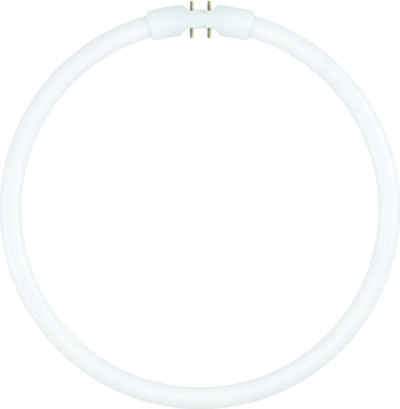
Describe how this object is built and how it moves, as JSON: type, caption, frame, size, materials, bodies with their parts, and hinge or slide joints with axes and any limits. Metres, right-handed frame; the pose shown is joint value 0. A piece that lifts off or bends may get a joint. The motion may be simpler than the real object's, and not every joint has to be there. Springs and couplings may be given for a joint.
{
  "type": "circular fluorescent tube",
  "caption": "Ring of white-coated glass tube closed by a moulded plastic cap, with brass contact pins that point outward and inward for a plug-on lampholder.",
  "frame": {"origin": "the centre of the glass ring, in the mid-plane of the glass", "axes": "+Y from the centre to the middle of the cap, along the outer pins; +X to the right, seen from the front; +Z out of the front face of the ring"},
  "size_m": [0.299, 0.3046, 0.0228],
  "materials": {
    "coated_glass": "clear glass over a matt white phosphor coat, so it is opaque white and glossy",
    "cap_plastic": "white moulded plastic, satin",
    "pin_brass": "turned and lightly tarnished",
    "lead_wire": "drawn, nickel plated"
  },
  "bodies": {
    "root": {"discharge_tube": "coated_glass", "cap_front_shell": "cap_plastic", "cap_rear_shell": "cap_plastic", "outer_left_pin": "pin_brass", "outer_right_pin": "pin_brass", "inner_left_pin": "pin_brass", "inner_right_pin": "pin_brass", "outer_left_lead": "lead_wire", "outer_right_lead": "lead_wire", "inner_left_lead": "lead_wire", "inner_right_lead": "lead_wire"}
  },
  "joints": []
}
